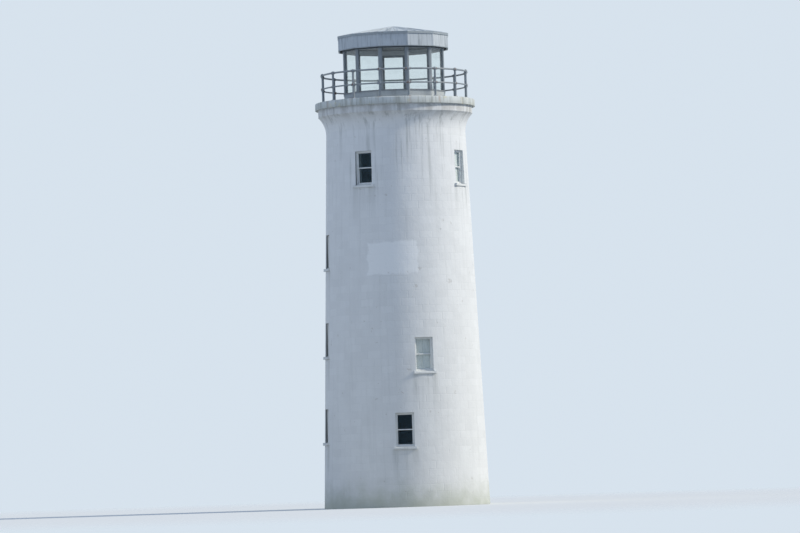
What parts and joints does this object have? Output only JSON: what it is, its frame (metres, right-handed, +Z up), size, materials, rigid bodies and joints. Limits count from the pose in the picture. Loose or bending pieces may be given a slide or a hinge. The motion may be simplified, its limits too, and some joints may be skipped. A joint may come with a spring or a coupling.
{
  "type": "lighthouse tower",
  "caption": "Round tapering masonry lighthouse tower with sash windows, a railed gallery on a cove cornice and a glazed many-sided lantern room under a low roof.",
  "frame": {"origin": "centre of the tower's base, on the ground", "axes": "+Z up the tower's axis, -Y towards the front that the picture shows, +X to its right"},
  "size_m": [6.7596, 7.3998, 19.63],
  "materials": {
    "painted_masonry": "white limewash and paint over brick, weathered",
    "gallery_stone": "painted stone slab, worn and rain-streaked",
    "floor_slab": "plain concrete",
    "step_stone": "dressed stone, worn on the treads",
    "sill_stone": "painted stone",
    "window_joinery": "painted timber",
    "window_glass": "old clear glass over a dark room",
    "door_paint": "dark painted timber",
    "door_brass": "dull brass",
    "railing_iron": "grey painted iron with rust at the joints",
    "lantern_masonry": "painted masonry",
    "lantern_metal": "dark grey painted metal",
    "lantern_glass": "clear plate glass",
    "ceiling_boards": "dark painted boards",
    "roof_paint": "grey painted sheet on boards, rain-streaked",
    "roof_trim": "dark painted metal trim"
  },
  "bodies": {
    "root": {"ground_wall_front": "painted_masonry", "ground_wall_right": "painted_masonry", "ground_wall_back": "painted_masonry", "ground_wall_left": "painted_masonry", "first_floor_wall_front": "painted_masonry", "first_floor_wall_right": "painted_masonry", "first_floor_wall_back": "painted_masonry", "first_floor_wall_left": "painted_masonry", "second_floor_wall_front": "painted_masonry", "second_floor_wall_right": "painted_masonry", "second_floor_wall_back": "painted_masonry", "second_floor_wall_left": "painted_masonry", "watch_room_wall_front": "painted_masonry", "watch_room_wall_right": "painted_masonry", "watch_room_wall_back": "painted_masonry", "watch_room_wall_left": "painted_masonry", "cornice_front_and_back": "painted_masonry", "cornice_left_and_right": "painted_masonry", "gallery_deck": "gallery_stone", "ground_floor": "floor_slab", "first_floor": "floor_slab", "second_floor": "floor_slab", "watch_room_floor": "floor_slab", "entrance_steps": "step_stone", "window_sills": "sill_stone", "window_frames": "window_joinery", "upper_sashes": "window_joinery", "lower_sashes": "window_joinery", "window_panes": "window_glass", "entrance_door_frame": "window_joinery", "entrance_door": "door_paint", "door_furniture": "door_brass", "gallery_posts": "railing_iron", "gallery_top_rail": "railing_iron", "gallery_middle_rail": "railing_iron", "lantern_base_wall": "lantern_masonry", "lantern_sill": "lantern_metal", "lantern_posts": "lantern_metal", "lantern_head": "lantern_metal", "lantern_door": "lantern_metal", "lantern_panes": "lantern_glass", "roof_ceiling": "ceiling_boards", "roof_fascia": "roof_paint", "roof_covering": "roof_paint", "roof_edge": "roof_trim"}
  },
  "joints": []
}
